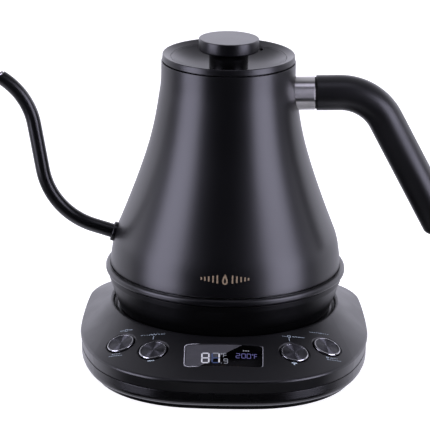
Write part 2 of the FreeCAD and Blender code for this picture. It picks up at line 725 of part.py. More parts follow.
def tilted_slab(form, width, height, top, thickness):
    """Slab parallel to the panel under the window; top is how far below the surface it starts."""
    hit, normal = display_tilt(form)
    slab = Part.makeBox(width, height, thickness, V(-width / 2, -height / 2, -top - thickness))
    slab.rotate(V(0, 0, 0), V(1, 0, 0), math.degrees(math.atan2(-normal.y, normal.z)))
    slab.translate(hit)
    return slab


def display_window(form):
    """Glossy black window whose face follows the panel, a little below it."""
    window = window_prism(0, 10, 50)
    lowered = form.copy()
    lowered.translate(V(0, 0, -0.35))
    floor = form.copy()
    floor.translate(V(0, 0, -2.6))
    return window.common(lowered).cut(floor).removeSplitter()


def display_module(form):
    return tilted_slab(form, 42.0, 16.0, 4.0, 3.4)


def control_board(form):
    """Board that carries the display module."""
    return tilted_slab(form, 56.0, 19.0, 7.4, BOARD_T)


def ribbon_lead():
    """Flat lead from the power board to the control board, along the tray's floor."""
    return box(-30.0, -22.0, -60.0, 42.0, 4.7, 5.7)


# ---------------------------------------------------------------- buttons
CAP_PROUD = 0.5
CAP_T = 2.4


def button_cap(hit, normal):
    """Spun-metal cap with a stem below it, sunk in its bright ring."""
    cap = Part.makeCylinder(BUTTON_R - 0.9, CAP_T, hit + normal * (CAP_PROUD - 0.25 - CAP_T), normal)
    skirt = Part.makeCylinder(BUTTON_R - 0.2, 1.0, hit + normal * (CAP_PROUD - 0.25 - CAP_T - 1.0), normal)
    stem = Part.makeCylinder(2.4, 2.6, hit + normal * (CAP_PROUD - 0.25 - CAP_T - 3.6), normal)
    return cap.fuse(skirt).fuse(stem).removeSplitter()


def button_ring(hit, normal):
    """Bright ring round the cap, with a bevelled crown."""
    foot = hit + normal * (CAP_PROUD - 0.25 - CAP_T)
    band = Part.makeCylinder(BUTTON_R, CAP_T + 0.25, foot, normal)
    top = max(rim_edges(band), key=lambda edge: (edge.CenterOfMass - foot).dot(normal))
    band = band.makeChamfer(0.35, [top])
    return band.cut(Part.makeCylinder(BUTTON_R - 0.9, CAP_T + 2, foot - normal, normal))


SWITCH_TOP = CAP_PROUD - 0.25 - CAP_T - 3.6 - BUTTON_TRAVEL - 0.15


def tact_switches(frames):
    """Square switch with a round plunger, one under each stem."""
    switches = []
    for hit, normal in frames:
        body = Part.makeBox(6, 6, 3.2, V(-3, -3, SWITCH_TOP - 4.0))
        plunger = Part.makeCylinder(1.7, 0.8, V(0, 0, SWITCH_TOP - 0.8))
        switches.append(seat_on(body.fuse(plunger).removeSplitter(), hit, normal))
    return group(switches)


def switch_boards(frames):
    """Small board under each switch."""
    return group(seat_on(Part.makeBox(18, 14, BOARD_T, V(-9, -7, SWITCH_TOP - 4.0 - BOARD_T)), hit, normal)
                 for hit, normal in frames)


def seat_on(shape, hit, normal):
    """Move a shape modelled about the Z axis so that it stands along a panel normal."""
    placed = shape.copy()
    placed.Placement = FreeCAD.Placement(hit, FreeCAD.Rotation(UP, normal))
    return placed


# ---------------------------------------------------------------- write every node
def main():
    os.makedirs("parts", exist_ok=True)
    form = base_form()

    for make in (body_shell, body_floor, bead_ring, lower_skirt, bottom_cover, cover_screws, kettle_connector,
                 connector_contacts, heat_plate, heating_element, element_clips, boil_dry_cutout,
                 temperature_probe, spout_tube, spout_flange, handle_core, handle_collar, handle_washer,
                 handle_grip, handle_set_screw):
        save(make.__name__, make())
    for make in (lid_ring, lid_plate, lid_cup, lid_seal, lid_knob, knob_stem, lid_screw):
        save(make.__name__, make())
    for make in (base_bottom_shell, base_feet, base_screws, cord_gland, cord_clamp, connector_post,
                 contact_rings, contact_pin, swivel_ring, connector_clamp, clamp_screws, power_board, relay,
                 transformer, capacitors, fuse_holder, buzzer, ribbon_lead):
        save(make.__name__, make())
    for make in (base_top_shell, display_window, display_module, control_board):
        save(make.__name__, make(form))

    frames = {name: panel_frame(form, x, y) for name, (x, y) in BUTTONS.items()}
    for name, (hit, normal) in frames.items():
        save(name + "_button", button_cap(hit, normal))
        save(name + "_button_ring", button_ring(hit, normal))
        print("   %s button: at %.2f %.2f %.2f, normal %.4f %.4f %.4f" % (
            name, hit.x, hit.y, hit.z, normal.x, normal.y, normal.z))
    save("tact_switches", tact_switches(frames.values()))
    save("switch_boards", switch_boards(frames.values()))


main()
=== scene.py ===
# %% [markdown]
# # A gooseneck kettle on its powered base
# This lesson dresses a finished kettle: a bell of powder-coated steel with a thin curved spout, a bent
# plastic grip, a dished lid, and a base with four turned keys and a small lit window. The metal and
# plastic parts already have their real shape and place, so nothing here is moved or resized. What is
# left to make is the camera, the light, every finish, and the thin things that sit on the surfaces:
# the printed marks, the lit digits, and the bare steel lip of the spout.

# %% Load the kettle
import json
import math

import bmesh
import bpy
from mathutils import Matrix, Vector
from mathutils.bvhtree import BVHTree

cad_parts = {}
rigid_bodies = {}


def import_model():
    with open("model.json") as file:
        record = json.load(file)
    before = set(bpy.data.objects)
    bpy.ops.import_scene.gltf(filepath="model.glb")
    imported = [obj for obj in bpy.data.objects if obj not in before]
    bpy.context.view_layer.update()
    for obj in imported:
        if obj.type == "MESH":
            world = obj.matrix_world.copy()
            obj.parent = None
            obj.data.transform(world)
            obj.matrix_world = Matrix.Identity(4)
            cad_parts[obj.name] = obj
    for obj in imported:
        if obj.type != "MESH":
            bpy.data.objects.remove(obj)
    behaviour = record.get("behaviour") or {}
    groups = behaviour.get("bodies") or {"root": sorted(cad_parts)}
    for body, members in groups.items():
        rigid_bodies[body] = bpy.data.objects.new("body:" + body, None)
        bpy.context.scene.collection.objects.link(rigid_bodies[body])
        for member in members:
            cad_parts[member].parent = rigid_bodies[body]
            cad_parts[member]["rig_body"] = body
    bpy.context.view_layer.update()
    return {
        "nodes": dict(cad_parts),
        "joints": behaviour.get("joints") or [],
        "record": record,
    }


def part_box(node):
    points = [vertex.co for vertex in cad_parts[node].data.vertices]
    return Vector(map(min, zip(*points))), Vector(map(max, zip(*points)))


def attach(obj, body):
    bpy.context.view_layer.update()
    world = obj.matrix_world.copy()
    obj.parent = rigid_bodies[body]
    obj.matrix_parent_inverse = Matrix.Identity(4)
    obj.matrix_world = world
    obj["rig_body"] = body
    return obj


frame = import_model()
NODES = frame["nodes"]
RECORD = frame["record"]
MM = 0.001

# %% [markdown]
# ## Places to work from
# Every position below is worked out from a part's own box. The kettle stands on its base with its axis
# a little behind the middle, so the axis comes from the bead ring at its foot.


# %% Centres of the main parts
def centre_of(node_name):
    """The middle of a part's box."""
    low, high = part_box(node_name)
    return (low + high) / 2


bead = centre_of("bead_ring")
window_low, window_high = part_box("display_window")
window = centre_of("display_window")
print("kettle axis at y, mm:", round(bead.y / MM, 2))

# %% [markdown]
# ## The camera
# A long lens from a little above keeps the kettle's sides from leaning, and shows the base's sloping
# panel and the dish of the lid in one picture. The camera stands in front of the kettle's axis, looks
# down on it, and is tilted by less than a degree, as a hand-levelled tripod is.

# %% Stand the camera in front
CAMERA_BACK = 1.6843
CAMERA_ABOVE_BEAD = 0.564
LOOK_DOWN = math.radians(17.5)
LOOK_LEFT = math.radians(0.235)
TILT = math.radians(0.9)
LENS = 236.0
SENSOR_WIDTH = 36.0
NEAREST, FARTHEST = 0.05, 50.0


def make_camera():
    """A camera with its own right, up and back directions, so that the small tilt is exact."""
    data = bpy.data.cameras.new("view")
    data.lens = LENS
    data.sensor_width = SENSOR_WIDTH
    data.clip_start, data.clip_end = NEAREST, FARTHEST
    camera = bpy.data.objects.new("view", data)
    bpy.context.scene.collection.objects.link(camera)
    ahead = Vector((-math.sin(LOOK_LEFT) * math.cos(LOOK_DOWN),
                    math.cos(LOOK_LEFT) * math.cos(LOOK_DOWN),
                    -math.sin(LOOK_DOWN)))
    right = ahead.cross(Vector((0, 0, 1))).normalized()
    up = right.cross(ahead)
    tilted_right = right * math.cos(TILT) + up * math.sin(TILT)
    tilted_up = up * math.cos(TILT) - right * math.sin(TILT)
    turn = Matrix((tilted_right, tilted_up, -ahead)).transposed()
    stand = Vector((0, bead.y - CAMERA_BACK, bead.z + CAMERA_ABOVE_BEAD))
    camera.matrix_world = Matrix.Translation(stand) @ turn.to_4x4()
    bpy.context.scene.camera = camera
    return camera


camera = make_camera()
bpy.context.scene.view_settings.view_transform = "Standard"
print("camera at", [round(v, 3) for v in camera.location])

# %% [markdown]
# ## Small tools for node trees
# A finish is a tree of nodes. Typing each one out hides the idea, so a few helpers make a node, a sum, a
# ramp or a blend in one line each. A number or a colour is set on a socket, and another node's output is
# linked to it, so the same call takes either.


# %% Helpers that add nodes
def feed(tree, socket, value):
    """Links another node's output to a socket, or sets the value on it."""
    if isinstance(value, bpy.types.NodeSocket):
        tree.links.new(value, socket)
    else:
        socket.default_value = value


def node(tree, kind, inputs=None, **settings):
    """Adds one node; inputs maps a socket to a value or to another node's output."""
    made = tree.nodes.new(kind)
    for name, value in settings.items():
        setattr(made, name, value)
    for key, value in (inputs or {}).items():
        feed(tree, made.inputs[key], value)
    return made


def maths(tree, operation, *values, clamp=False):
    """One sum, such as maths(tree, "MULTIPLY", height, 2)."""
    inputs = dict(enumerate(values))
    return node(tree, "ShaderNodeMath", inputs, operation=operation, use_clamp=clamp).outputs[0]


def vector_maths(tree, operation, *values):
    """One vector sum. A dot product or length gives a number, and the rest give a vector."""
    made = node(tree, "ShaderNodeVectorMath", dict(enumerate(values)), operation=operation)
    return made.outputs["Value" if operation in ("DOT_PRODUCT", "LENGTH") else "Vector"]


def ramp(tree, value, low, high, to_low=0.0, to_high=1.0, kind="SMOOTHSTEP"):
    """Maps low..high to to_low..to_high, and holds the ends."""
    inputs = {"Value": value, "From Min": low, "From Max": high, "To Min": to_low, "To Max": to_high}
    return node(tree, "ShaderNodeMapRange", inputs, interpolation_type=kind).outputs["Result"]


def blend(tree, amount, a, b):
    """A colour between a and b, by an amount from 0 to 1."""
    mix = node(tree, "ShaderNodeMix", {0: amount}, data_type="RGBA")
    for socket, colour in ((mix.inputs[6], a), (mix.inputs[7], b)):
        feed(tree, socket, (*colour[:3], 1.0) if isinstance(colour, tuple) else colour)
    return mix.outputs[2]


def spot_on_part(tree):
    """A point's place at rest, in metres. It moves along with its part."""
    return node(tree, "ShaderNodeTexCoord").outputs["Object"]


def scaled(colour, factor):
    """A colour made lighter or darker."""
    return tuple(c * factor for c in colour)


# %% [markdown]
# ## Light
# A black kettle is drawn by what it mirrors. Two tall soft boxes stand in front, one on each side, and
# their reflections make the two broad streaks down the bell. The room in front is dark, which keeps the
# middle of the bell black. Behind the kettle the room is white, and a surface seen at a glancing angle
# mirrors that: it gives the pale rims of the body and the shine on the shoulders of the base. A third and
# smaller box hangs high in front, for the upper side of the steel collar.

# %% The room
FRONT_GLOW = 0.010
BACK_GLOW = 2.1
HIGH_GLOW = 0.62
LOW_GLOW = 1.1
FLOOR_LIGHT = 1.5
ROOM_TINT = (0.88, 0.87, 1.0)
# Directions at which each change of glow starts and ends: 1 is straight back or up, -1 forward or down.
BEHIND = (-0.10, 0.45)
RISING = (-0.15, 0.08)
FALLING = (0.25, 0.65)
BELOW = (-0.62, -0.92)


def make_room():
    """A world that is white behind, dark in front, and plain pale where the camera looks straight at it."""
    world = bpy.data.worlds.new("room")
    world.use_nodes = True
    tree = world.node_tree
    tree.nodes.clear()
    facing = node(tree, "ShaderNodeTexCoord").outputs["Generated"]
    along = node(tree, "ShaderNodeSeparateXYZ", {"Vector": facing}).outputs
    behind = ramp(tree, along["Y"], *BEHIND)
    rising = ramp(tree, along["Z"], *RISING, LOW_GLOW, BACK_GLOW)
    falling = ramp(tree, along["Z"], *FALLING, 1.0, HIGH_GLOW / BACK_GLOW)
    height = maths(tree, "MULTIPLY", rising, falling)
    below = ramp(tree, along["Z"], *BELOW, 0.0, FLOOR_LIGHT)
    glow = maths(tree, "MAXIMUM", maths(tree, "MULTIPLY", behind, height), below)
    glow = maths(tree, "MAXIMUM", glow, FRONT_GLOW)
    seen = node(tree, "ShaderNodeLightPath").outputs["Is Camera Ray"]
    strength = maths(tree, "MAXIMUM", glow, seen)
    tint = blend(tree, seen, ROOM_TINT, (1, 1, 1))
    light = node(tree, "ShaderNodeBackground", {"Color": tint, "Strength": strength})
    node(tree, "ShaderNodeOutputWorld", {"Surface": light.outputs[0]})
    bpy.context.scene.world = world


make_room()

# %% Soft boxes
COOL = (0.81, 0.79, 1.0)
AIM_ABOVE_BEAD = 0.0639


def soft_box(name, azimuth, elevation, distance, width, height, glow):
    """An area light aimed at the kettle. Azimuth is degrees to the right of straight in front."""
    data = bpy.data.lights.new(name, "AREA")
    data.shape = "RECTANGLE"
    data.size, data.size_y = width, height
    data.energy = glow * math.pi * width * height
    data.color = COOL
    light = bpy.data.objects.new(name, data)
    bpy.context.scene.collection.objects.link(light)
    a, e = math.radians(azimuth), math.radians(elevation)
    away = Vector((math.sin(a) * math.cos(e), -math.cos(a) * math.cos(e), math.sin(e)))
    aim = Vector((0, bead.y, bead.z + AIM_ABOVE_BEAD))
    light.location = aim + away * distance
    light.rotation_mode = "QUATERNION"
    light.rotation_quaternion = away.to_track_quat("Z", "Y")
    light.visible_camera = False


TALL_BOX = {"elevation": 6, "distance": 1.3, "width": 0.84, "height": 1.3, "glow": 6.6}
soft_box("left_box", azimuth=-64, **TALL_BOX)
soft_box("right_box", azimuth=60, **TALL_BOX)
soft_box("top_box", azimuth=10, elevation=68, distance=1.4, width=0.9, height=0.5, glow=1.6)

# %% [markdown]
# ## The floor
# A wide pale table. It glows a little by itself, like a sheet of opal glass lit from under, so that the
# shadow under the base stays faint. Shiny parts would show it as a hard white band, so it isn't seen in
# reflections, and the room's own soft glow from below stands in for it.

# %% Lay the floor
FLOOR_RADIUS = 6.0
FLOOR_SIDES = 96
FLOOR_TONE = (0.80, 0.80, 0.80, 1)
FLOOR_ROUGHNESS = 0.9
FLOOR_GLOW = 0.80


def make_floor():
    """A round table top, seen by the camera but not in reflections."""
    bm = bmesh.new()
    bmesh.ops.create_circle(bm, cap_ends=True, segments=FLOOR_SIDES, radius=FLOOR_RADIUS)
    mesh = bpy.data.meshes.new("pale_floor")
    bm.to_mesh(mesh)
    bm.free()
    floor = bpy.data.objects.new("pale_floor", mesh)
    bpy.context.scene.collection.objects.link(floor)
    material = bpy.data.materials.new("pale_table")
    material.use_nodes = True
    shader = material.node_tree.nodes["Principled BSDF"]
    shader.inputs["Base Color"].default_value = FLOOR_TONE
    shader.inputs["Roughness"].default_value = FLOOR_ROUGHNESS
    shader.inputs["Emission Color"].default_value = (1, 1, 1, 1)
    shader.inputs["Emission Strength"].default_value = FLOOR_GLOW
    mesh.materials.append(material)
    floor.visible_glossy = False


make_floor()

# %% [markdown]
# ## Effects that several finishes share
# A group is a small machine with named knobs. Each one below makes one effect and is placed in every
# finish that needs it, with its own settings: the grain of powder coat and moulded plastic, the faint
# marks of handling, the rub along edges, and the fine rings left by turning.


# %% Start a group
def new_group(name, inputs, outputs):
    """An empty group, its input and output nodes, with sockets given as (name, kind, default)."""
    tree = bpy.data.node_groups.new(name, "ShaderNodeTree")
    for label, kind, default in inputs:
        socket = tree.interface.new_socket(name=label, in_out="INPUT", socket_type=kind)
        socket.default_value = default
    for label, kind in outputs:
        tree.interface.new_socket(name=label, in_out="OUTPUT", socket_type=kind)
    return tree, tree.nodes.new("NodeGroupInput").outputs, tree.nodes.new("NodeGroupOutput").inputs


def place(tree, group, **inputs):
    """Puts a group in a finish; Size_mm=0.4 sets the knob named Size mm."""
    inputs = {name.replace("_", " "): value for name, value in inputs.items()}
    return node(tree, "ShaderNodeGroup", inputs, node_tree=group).outputs


def repeats(tree, size_mm):
    """How many times a pattern of this size fits in a metre."""
    return maths(tree, "DIVIDE", 1.0 / MM, size_mm)


FLOAT, VECTOR = "NodeSocketFloat", "NodeSocketVector"


# %% Grain of powder coat and moulded plastic
CELL_SHARE = 0.4


def grain_group():
    """Small soft bumps. Speckle is the same pattern as a plain 0..1 value."""
    tree, knobs, out = new_group(
        "fine grain",
        [("Size mm", FLOAT, 0.4), ("Softness", FLOAT, 0.5)],
        [("Height", FLOAT), ("Speckle", FLOAT)])
    spot, scale = spot_on_part(tree), repeats(tree, knobs["Size mm"])
    fine = node(tree, "ShaderNodeTexNoise", {"Vector": spot, "Scale": scale, "Detail": 2.0,
                                             "Roughness": knobs["Softness"]}).outputs[0]
    cells = node(tree, "ShaderNodeTexVoronoi", {"Vector": spot, "Scale": scale},
                 feature="SMOOTH_F1").outputs["Distance"]
    tree.links.new(maths(tree, "ADD", fine, maths(tree, "MULTIPLY", cells, CELL_SHARE)), out["Height"])
    tree.links.new(ramp(tree, fine, 0.35, 0.65), out["Speckle"])
    return tree


GRAIN = grain_group()


# %% Marks of handling
def handling_group():
    """Faint clouds and wipes. Shift goes from -1 to 1, and Cloud is a patchy 0..1 mask."""
    tree, knobs, out = new_group(
        "handling",
        [("Size mm", FLOAT, 30.0), ("Streak", VECTOR, (1, 1, 1))],
        [("Shift", FLOAT), ("Cloud", FLOAT)])
    stretched = vector_maths(tree, "MULTIPLY", spot_on_part(tree), knobs["Streak"])
    scale = repeats(tree, knobs["Size mm"])
    cloud = node(tree, "ShaderNodeTexNoise", {"Vector": stretched, "Scale": scale, "Detail": 4.0,
                                              "Distortion": 0.6}).outputs[0]
    tree.links.new(ramp(tree, cloud, 0.25, 0.75, -1.0, 1.0), out["Shift"])
    tree.links.new(ramp(tree, cloud, 0.42, 0.70), out["Cloud"])
    return tree


HANDLING = handling_group()


# %% Rubbed edges
def edge_group():
    """Finds edges by comparing the surface with a rounded copy of itself."""
    tree, knobs, out = new_group(
        "rubbed edges",
        [("Radius mm", FLOAT, 0.6), ("Gain", FLOAT, 3.0)],
        [("Edge", FLOAT), ("Normal", VECTOR)])
    radius = maths(tree, "MULTIPLY", knobs["Radius mm"], MM)
    rounded = node(tree, "ShaderNodeBevel", {"Radius": radius}, samples=4).outputs[0]
    flat = node(tree, "ShaderNodeNewGeometry").outputs["Normal"]
    turn = maths(tree, "SUBTRACT", 1.0, vector_maths(tree, "DOT_PRODUCT", rounded, flat))
    tree.links.new(maths(tree, "MULTIPLY", turn, knobs["Gain"], clamp=True), out["Edge"])
    tree.links.new(rounded, out["Normal"])
    return tree


EDGES = edge_group()


# %% Rings left by turning
def turned_group():
    """Fine uneven rings about an axis, as a lathe leaves them."""
    tree, knobs, out = new_group(
        "turned rings",
        [("Centre", VECTOR, (0, 0, 0)), ("Axis", VECTOR, (0, 0, 1)), ("Pitch mm", FLOAT, 0.25)],
        [("Height", FLOAT)])
    arm = vector_maths(tree, "SUBTRACT", spot_on_part(tree), knobs["Centre"])
    depth = vector_maths(tree, "DOT_PRODUCT", arm, knobs["Axis"])
    along_axis = node(tree, "ShaderNodeVectorMath", {0: knobs["Axis"], "Scale": depth}, operation="SCALE")
    radius = vector_maths(tree, "LENGTH", vector_maths(tree, "SUBTRACT", arm, along_axis.outputs["Vector"]))
    steps = maths(tree, "DIVIDE", radius, maths(tree, "MULTIPLY", knobs["Pitch mm"], MM))
    rings = node(tree, "ShaderNodeTexNoise", {"W": steps, "Scale": 1.0, "Detail": 3.0},
                 noise_dimensions="1D").outputs[0]
    tree.links.new(rings, out["Height"])
    return tree


TURNED = turned_group()
print("shared effects:", [g.name for g in bpy.data.node_groups])

# %% [markdown]
# ## Finishes
# Each finish is one function. It starts from a plain shader with its fixed numbers set on it, and then
# lets the shared effects vary the colour, the roughness and the bumps.


# %% Start a finish
def new_finish(name, colour, roughness, metallic=0.0, **fixed):
    """A material with its shader; fixed numbers go on the shader's own sockets."""
    material = bpy.data.materials.new(name)
    material.use_nodes = True
    material.diffuse_color = (*colour, 1.0)
    tree = material.node_tree
    shader = tree.nodes["Principled BSDF"]
    shader.inputs["Base Color"].default_value = (*colour, 1.0)
    shader.inputs["Roughness"].default_value = roughness
    shader.inputs["Metallic"].default_value = metallic
    for key, value in fixed.items():
        shader.inputs[key.replace("_", " ")].default_value = value
    return material, tree, shader


def vary_roughness(tree, shader, middle, swing, shift):
    """Roughness that wanders about a middle value as shift goes from -1 to 1."""
    value = maths(tree, "MULTIPLY_ADD", shift, swing, middle, clamp=True)
    tree.links.new(value, shader.inputs["Roughness"])


def bump(tree, shader, height, depth_mm, normal=None):
    """Bumps of a given depth, over an optional rounded normal."""
    inputs = {"Strength": 1.0, "Distance": depth_mm * MM, "Height": height}
    if normal is not None:
        inputs["Normal"] = normal
    tree.links.new(node(tree, "ShaderNodeBump", inputs).outputs[0], shader.inputs["Normal"])


# %% [markdown]
# ## Powder coat
# The bell, the spout and the lid are steel with a baked powder coat: black, satin, and very slightly
# grained. One flat black would look like a hole, so the gloss drifts in wide clouds where hands have been,
# and the edges, where the coat is thinnest, are a shade lighter.

# %% Black powder coat
COAT_COLOUR = (0.0010, 0.0010, 0.0014)
COAT_RUBBED = (0.02, 0.02, 0.022)
COAT_ROUGHNESS = 0.335


def powder_coat():
    """Satin black paint baked on as a powder: fine grain, cloudy gloss, edges a shade lighter."""
    material, tree, shader = new_finish("black_powder_coat", COAT_COLOUR, COAT_ROUGHNESS)
    grain = place(tree, GRAIN, Size_mm=0.5, Softness=0.6)
    touch = place(tree, HANDLING, Size_mm=45.0, Streak=(1, 1, 0.5))
    edge = place(tree, EDGES, Radius_mm=0.5, Gain=1.2)
    cloudy = blend(tree, maths(tree, "MULTIPLY", touch["Cloud"], 0.25), COAT_COLOUR,
                   scaled(COAT_COLOUR, 1.5))
    worn = blend(tree, maths(tree, "MULTIPLY", edge["Edge"], 0.35), cloudy, COAT_RUBBED)
    tree.links.new(worn, shader.inputs["Base Color"])
    vary_roughness(tree, shader, COAT_ROUGHNESS, 0.015, touch["Shift"])
    bump(tree, shader, grain["Height"], 0.006, edge["Normal"])
    return material


# %% [markdown]
# ## Plastics
# A moulded part copies its mould, and the mould's skin is roughened by sparks. So a plastic has a grain of
# its own size and depth. The grip's is soft, the lower shell's is almost polished.

# %% Moulded plastics
GRAIN_LIFT = 1.35
RUB_LIFT, RUB_ADD = 1.6, 0.01


def moulded(name, colour, middle, grain_mm=0.4, depth_mm=0.006, swing=0.03, shine=0.5):
    """A moulded plastic: colour, gloss, and a spark-eroded grain of a given size."""
    material, tree, shader = new_finish(name, colour, middle, Specular_IOR_Level=shine)
    grain = place(tree, GRAIN, Size_mm=grain_mm, Softness=0.5)
    touch = place(tree, HANDLING, Size_mm=25.0)
    edge = place(tree, EDGES, Radius_mm=0.4, Gain=1.0)
    speck = blend(tree, maths(tree, "MULTIPLY", grain["Speckle"], 0.3), colour, scaled(colour, GRAIN_LIFT))
    worn = blend(tree, maths(tree, "MULTIPLY", edge["Edge"], 0.2), speck,
                 tuple(min(1.0, c * RUB_LIFT + RUB_ADD) for c in colour))
    tree.links.new(worn, shader.inputs["Base Color"])
    vary_roughness(tree, shader, middle, swing, touch["Shift"])
    bump(tree, shader, grain["Height"], depth_mm, edge["Normal"])
    return material


# %% [markdown]
# ## The base's upper moulding
# The sloping panel is textured so that fingers leave no marks, and the wall under its crease is left
# smoother. Both belong to one moulding, so height above the table decides which of the two it gets.

# %% Panel and wall in one finish
PANEL_TONE, WALL_TONE = (0.0036, 0.0036, 0.0039), (0.0005, 0.0005, 0.0006)
PANEL_RUBBED = (0.016, 0.016, 0.017)
PANEL_ROUGHNESS, WALL_ROUGHNESS = 0.43, 0.32
# The finish changes from a little under the crease to a little over it, in the moulding's lower half.
half_height = centre_of("base_top_shell").z
CREASE = (half_height - 1.775 * MM, half_height - 0.375 * MM)


def base_moulding():
    """One moulding with two textures: soft and light on the panel, smoother and darker down the wall."""
    material, tree, shader = new_finish("base_plastic", PANEL_TONE, PANEL_ROUGHNESS)
    z = node(tree, "ShaderNodeSeparateXYZ", {"Vector": spot_on_part(tree)}).outputs["Z"]
    on_panel = ramp(tree, z, *CREASE)
    grain = place(tree, GRAIN, Size_mm=0.4, Softness=0.5)
    touch = place(tree, HANDLING, Size_mm=25.0)
    edge = place(tree, EDGES, Radius_mm=0.4, Gain=1.0)
    tone = blend(tree, on_panel, WALL_TONE, PANEL_TONE)
    speck = blend(tree, maths(tree, "MULTIPLY", grain["Speckle"], 0.3), tone, PANEL_TONE)
    worn = blend(tree, maths(tree, "MULTIPLY", edge["Edge"], 0.2), speck, PANEL_RUBBED)
    tree.links.new(worn, shader.inputs["Base Color"])
    middle = ramp(tree, on_panel, 0.0, 1.0, WALL_ROUGHNESS, PANEL_ROUGHNESS)
    vary_roughness(tree, shader, middle, 0.03, touch["Shift"])
    bump(tree, shader, grain["Height"], 0.006, edge["Normal"])
    return material


# %% [markdown]
# ## Metals
# The cup, the brass contacts, the screws and the cast heat plate are bare. A metal shows how it was worked:
# drawn sheet has long marks, and a casting has coarse ones. Squeezing one noise along a direction gives all
# of them, so one function is enough.

# %% Plain metals
def worked_metal(name, colour, middle, swing=0.05, marks_mm=1.2, depth_mm=0.002, streak=(1, 1, 1)):
    """A metal with drawn or cast marks: streak squeezes the marks along one direction."""
    material, tree, shader = new_finish(name, colour, middle, metallic=1.0)
    touch = place(tree, HANDLING, Size_mm=12.0, Streak=streak)
    fine = place(tree, HANDLING, Size_mm=marks_mm, Streak=streak)
    edge = place(tree, EDGES, Radius_mm=0.3, Gain=1.0)
    dull = blend(tree, touch["Cloud"], colour, scaled(colour, 0.82))
    tree.links.new(dull, shader.inputs["Base Color"])
    vary_roughness(tree, shader, middle, swing, touch["Shift"])
    bump(tree, shader, fine["Shift"], depth_mm, edge["Normal"])
    return material


# %% [markdown]
# ## The collar
# The steel collar between the body and the grip was turned on a lathe, so its marks run round it. Light
# then smears along the collar and stays crisp round it. Anisotropy does that, once the shader is told
# which way along is: here it is the collar's own axis, left to right.

# %% The collar on the handle
COLLAR_STEEL, COLLAR_DULL = (0.66, 0.65, 0.63), (0.56, 0.55, 0.53)
COLLAR_ROUGHNESS = 0.36


def turned_collar():
    """Bright steel turned on a lathe: light spreads along the collar and stays crisp round it."""
    material, tree, shader = new_finish("turned_collar", COLLAR_STEEL, COLLAR_ROUGHNESS, metallic=1.0,
                                        Anisotropic=0.85)
    touch = place(tree, HANDLING, Size_mm=12.0)
    fine = place(tree, HANDLING, Size_mm=1.2, Streak=(12, 1, 1))
    edge = place(tree, EDGES, Radius_mm=0.3, Gain=1.0)
    dull = blend(tree, touch["Cloud"], COLLAR_STEEL, COLLAR_DULL)
    tree.links.new(dull, shader.inputs["Base Color"])
    tree.links.new(node(tree, "ShaderNodeCombineXYZ", {"X": 1.0}).outputs[0], shader.inputs["Tangent"])
    vary_roughness(tree, shader, COLLAR_ROUGHNESS, 0.03, touch["Shift"])
    bump(tree, shader, fine["Shift"], 0.0006, edge["Normal"])
    return material


# %% [markdown]
# ## The key faces
# Each key is a dark anodised disc, spun so that fine rings run round its middle. A lamp is mirrored only
# where the rings lie the right way to it, so its light breaks into fans. The rings need the key's own
# centre and axis, so each key gets a finish of its own.

# %% Turned key faces
KEY_METAL = (0.10, 0.10, 0.11)
KEY_DARK, KEY_LIGHT = (0.07, 0.07, 0.075), (0.13, 0.13, 0.14)


def key_axis(part):
    """The way a key faces: the opposite of its joint's travel."""
    body = NODES[part]["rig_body"]
    joint = next(j for j in frame["joints"] if j["child"] == body)
    return -Vector(joint["axis"]).normalized()


def turned_key(name, part):
    """Dark anodised metal with fine rings. Its shine stretches across the rings, so it breaks in fans."""
    low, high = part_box(part)
    centre, axis = (low + high) / 2, key_axis(part)
    material, tree, shader = new_finish(name, KEY_METAL, 0.48, metallic=1.0,
                                        Anisotropic=0.95, Anisotropic_Rotation=0.25)
    rings = place(tree, TURNED, Centre=centre, Axis=axis, Pitch_mm=0.22)
    shade = blend(tree, ramp(tree, rings["Height"], 0.3, 0.7), KEY_DARK, KEY_LIGHT)
    tree.links.new(shade, shader.inputs["Base Color"])
    spoke = vector_maths(tree, "SUBTRACT", spot_on_part(tree), centre)
    around = vector_maths(tree, "NORMALIZE", vector_maths(tree, "CROSS_PRODUCT", axis, spoke))
    tree.links.new(around, shader.inputs["Tangent"])
    bump(tree, shader, rings["Height"], 0.01)
    return material


# %% [markdown]
# ## The window
# A pane of black glass covers the display. Its upper left part carries a painted grey reflection, cut off
# along a slanted line. The line is a plain test of which side of it a point lies on, so it stays sharp
# however close the camera comes.

# %% The window's glass
# The pane's grey upper left part is a painted reflection, and this line marks its edge.
REFLECTION_LINE = Vector((-0.603, 0.797, 0.0))
REFLECTION_LINE_AT = REFLECTION_LINE.dot(window) + 1.107 * MM
REFLECTION_EDGE_BLUR = 0.00006
GLASS_BLACK = (0.0006, 0.0006, 0.0006)
REFLECTION_DARK, REFLECTION_LIGHT = (0.084, 0.084, 0.086), (0.094, 0.094, 0.096)
GLASS_ROUGHNESS = 0.08


def display_glass():
    """Black glass over the display, with a painted grey reflection on its upper left part, up to a slanted
    line.
    """
    material, tree, shader = new_finish("display_glass", GLASS_BLACK, GLASS_ROUGHNESS)
    # Painted reflection: the pane is grey on one side of the slanted line, clouded a little.
    across = vector_maths(tree, "DOT_PRODUCT", spot_on_part(tree), REFLECTION_LINE)
    in_reflection = ramp(tree, across, REFLECTION_LINE_AT - REFLECTION_EDGE_BLUR, REFLECTION_LINE_AT + REFLECTION_EDGE_BLUR, kind="LINEAR")
    touch = place(tree, HANDLING, Size_mm=14.0, Streak=(1, 2.5, 1))
    grey = blend(tree, touch["Cloud"], REFLECTION_DARK, REFLECTION_LIGHT)
    tree.links.new(blend(tree, in_reflection, GLASS_BLACK, grey), shader.inputs["Base Color"])
    vary_roughness(tree, shader, GLASS_ROUGHNESS, 0.02, touch["Shift"])
    bump(tree, shader, touch["Shift"], 0.0003)
    return material


